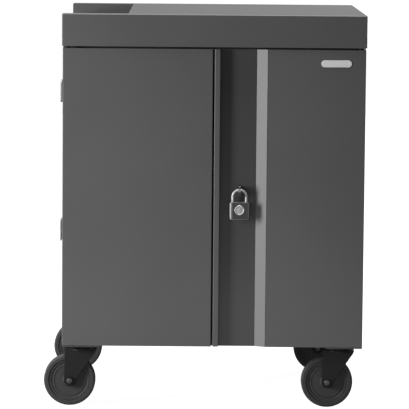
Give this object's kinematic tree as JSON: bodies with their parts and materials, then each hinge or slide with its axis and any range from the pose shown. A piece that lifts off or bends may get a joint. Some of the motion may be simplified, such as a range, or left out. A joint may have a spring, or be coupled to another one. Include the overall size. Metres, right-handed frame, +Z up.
{
  "type": "laptop charging cart",
  "caption": "Grey steel cabinet on swivel casters for storing and charging laptops, with a push-grip well in the lid, front doors held by a padlock and a vented rear service door.",
  "frame": {"origin": "on the floor under the middle of the cabinet", "axes": "+X to the right as seen from the front doors, +Y to the back, +Z up"},
  "size_m": [0.7945, 0.6874, 0.97],
  "materials": {
    "cabinet_paint": "fine-textured satin powder coat, mid graphite grey",
    "inner_paint": "satin powder coat, grey",
    "grip_rubber": "matt soft sleeve",
    "zinc_steel": "bright zinc plate",
    "divider_plastic": "fine-grained moulded sheet",
    "strip_aluminium": "satin anodised extrusion",
    "black_plastic": "fine spark-eroded grain",
    "controller_paint": "satin light grey enamel",
    "hook_plastic": "satin moulded grey",
    "accent_paint": "satin silver grey",
    "shackle_chrome": "polished",
    "lock_steel": "dark satin jacket",
    "disc_steel": "turned face",
    "caster_paint": "black satin coat",
    "hub_plastic": "moulded, dark grey",
    "tread_rubber": "smooth matt rubber"
  },
  "bodies": {
    "cabinet": {"base_plate": "cabinet_paint", "left_side_panel": "cabinet_paint", "right_side_panel": "cabinet_paint", "lid": "cabinet_paint", "roof_panel": "inner_paint", "corner_posts": "inner_paint", "cross_rails": "inner_paint", "floor_shelf": "inner_paint", "middle_shelf": "inner_paint", "shelf_angles": "inner_paint", "partitions": "inner_paint", "grip_bar": "grip_rubber", "grip_bolts": "zinc_steel", "door_pivot_pins": "zinc_steel", "lock_keeper": "zinc_steel", "caster_bolts": "zinc_steel", "bay_dividers": "divider_plastic", "power_strips": "strip_aluminium", "power_outlets": "black_plastic", "power_inlet": "black_plastic", "door_catches": "black_plastic", "charge_controller": "controller_paint", "cord_hooks": "hook_plastic", "caster_plates": "caster_paint"},
    "rocker": {"power_rocker": "black_plastic"},
    "left_door": {"left_door_panel": "cabinet_paint", "left_door_liner": "inner_paint", "left_strike_plate": "zinc_steel"},
    "right_door": {"right_door_panel": "cabinet_paint", "right_door_liner": "inner_paint", "right_strike_plate": "zinc_steel", "accent_strip": "accent_paint", "bare_plate": "accent_paint", "lock_staple": "zinc_steel"},
    "shackle": {"padlock_shackle": "shackle_chrome"},
    "padlock": {"padlock_body": "lock_steel", "padlock_disc": "disc_steel"},
    "key_plug": {"padlock_plug": "shackle_chrome"},
    "rear_door": {"rear_door_panel": "cabinet_paint", "rear_door_liner": "inner_paint", "rear_lock_case": "zinc_steel"},
    "rear_lock": {"rear_lock_cam": "zinc_steel"},
    "front_left_swivel": {"front_left_fork": "caster_paint", "front_left_axle": "zinc_steel"},
    "front_left_wheel": {"front_left_hub": "hub_plastic", "front_left_tread": "tread_rubber"},
    "front_right_swivel": {"front_right_fork": "caster_paint", "front_right_axle": "zinc_steel"},
    "front_right_wheel": {"front_right_hub": "hub_plastic", "front_right_tread": "tread_rubber"},
    "rear_left_swivel": {"rear_left_fork": "caster_paint", "rear_left_axle": "zinc_steel"},
    "rear_left_wheel": {"rear_left_hub": "hub_plastic", "rear_left_tread": "tread_rubber"},
    "rear_right_swivel": {"rear_right_fork": "caster_paint", "rear_right_axle": "zinc_steel"},
    "rear_right_wheel": {"rear_right_hub": "hub_plastic", "rear_right_tread": "tread_rubber"},
    "rear_left_pedal": {"rear_left_brake": "black_plastic"},
    "rear_right_pedal": {"rear_right_brake": "black_plastic"}
  },
  "joints": [
    {"name": "left_door_hinge", "type": "hinge", "parent": "cabinet", "child": "left_door", "pos_m": [-0.357, -0.327, 0.158], "axis": [0, 0, -1], "range_deg": [0, 180]},
    {"name": "right_door_hinge", "type": "hinge", "parent": "cabinet", "child": "right_door", "pos_m": [0.357, -0.327, 0.158], "axis": [0, 0, 1], "range_deg": [0, 180]},
    {"name": "rear_door_hinge", "type": "hinge", "parent": "cabinet", "child": "rear_door", "pos_m": [0.357, 0.327, 0.158], "axis": [0, 0, -1], "range_deg": [0, 180]},
    {"name": "rear_lock_turn", "type": "hinge", "parent": "rear_door", "child": "rear_lock", "pos_m": [-0.3, 0.338, 0.52], "axis": [0, -1, 0], "range_deg": [0, 90]},
    {"name": "padlock_swing", "type": "hinge", "parent": "right_door", "child": "shackle", "pos_m": [0.064, -0.3355, 0.5435], "axis": [-1, 0, 0], "range_deg": [0, 60]},
    {"name": "padlock_release", "type": "slide", "parent": "shackle", "child": "padlock", "axis": [0, 0, -1], "range_m": [0, 0.011]},
    {"name": "key_turn", "type": "hinge", "parent": "padlock", "child": "key_plug", "pos_m": [0.064, -0.3355, 0.4722], "axis": [0, 0, 1], "range_deg": [0, 90]},
    {"name": "rocker_tilt", "type": "hinge", "parent": "cabinet", "child": "rocker", "pos_m": [-0.368, 0.23127, 0.3295], "axis": [0, -1, 0], "range_deg": [0, 16]},
    {"name": "front_left_swivel_turn", "type": "hinge", "parent": "cabinet", "child": "front_left_swivel", "pos_m": [-0.318, -0.268, 0.1545], "axis": [0, 0, 1], "continuous": true},
    {"name": "front_left_wheel_spin", "type": "hinge", "parent": "front_left_swivel", "child": "front_left_wheel", "pos_m": [-0.351, -0.268, 0.0635], "axis": [0, 1, 0], "continuous": true},
    {"name": "front_right_swivel_turn", "type": "hinge", "parent": "cabinet", "child": "front_right_swivel", "pos_m": [0.318, -0.268, 0.1545], "axis": [0, 0, 1], "continuous": true},
    {"name": "front_right_wheel_spin", "type": "hinge", "parent": "front_right_swivel", "child": "front_right_wheel", "pos_m": [0.285, -0.268, 0.0635], "axis": [0, 1, 0], "continuous": true},
    {"name": "rear_left_swivel_turn", "type": "hinge", "parent": "cabinet", "child": "rear_left_swivel", "pos_m": [-0.318, 0.268, 0.1545], "axis": [0, 0, 1], "continuous": true},
    {"name": "rear_left_wheel_spin", "type": "hinge", "parent": "rear_left_swivel", "child": "rear_left_wheel", "pos_m": [-0.351, 0.268, 0.0635], "axis": [0, 1, 0], "continuous": true},
    {"name": "rear_right_swivel_turn", "type": "hinge", "parent": "cabinet", "child": "rear_right_swivel", "pos_m": [0.318, 0.268, 0.1545], "axis": [0, 0, 1], "continuous": true},
    {"name": "rear_right_wheel_spin", "type": "hinge", "parent": "rear_right_swivel", "child": "rear_right_wheel", "pos_m": [0.285, 0.268, 0.0635], "axis": [0, 1, 0], "continuous": true},
    {"name": "rear_left_brake_tread", "type": "hinge", "parent": "rear_left_swivel", "child": "rear_left_pedal", "pos_m": [-0.342, 0.268, 0.1325], "axis": [0, 1, 0], "range_deg": [0, 6]},
    {"name": "rear_right_brake_tread", "type": "hinge", "parent": "rear_right_swivel", "child": "rear_right_pedal", "pos_m": [0.294, 0.268, 0.1325], "axis": [0, 1, 0], "range_deg": [0, 6]}
  ]
}
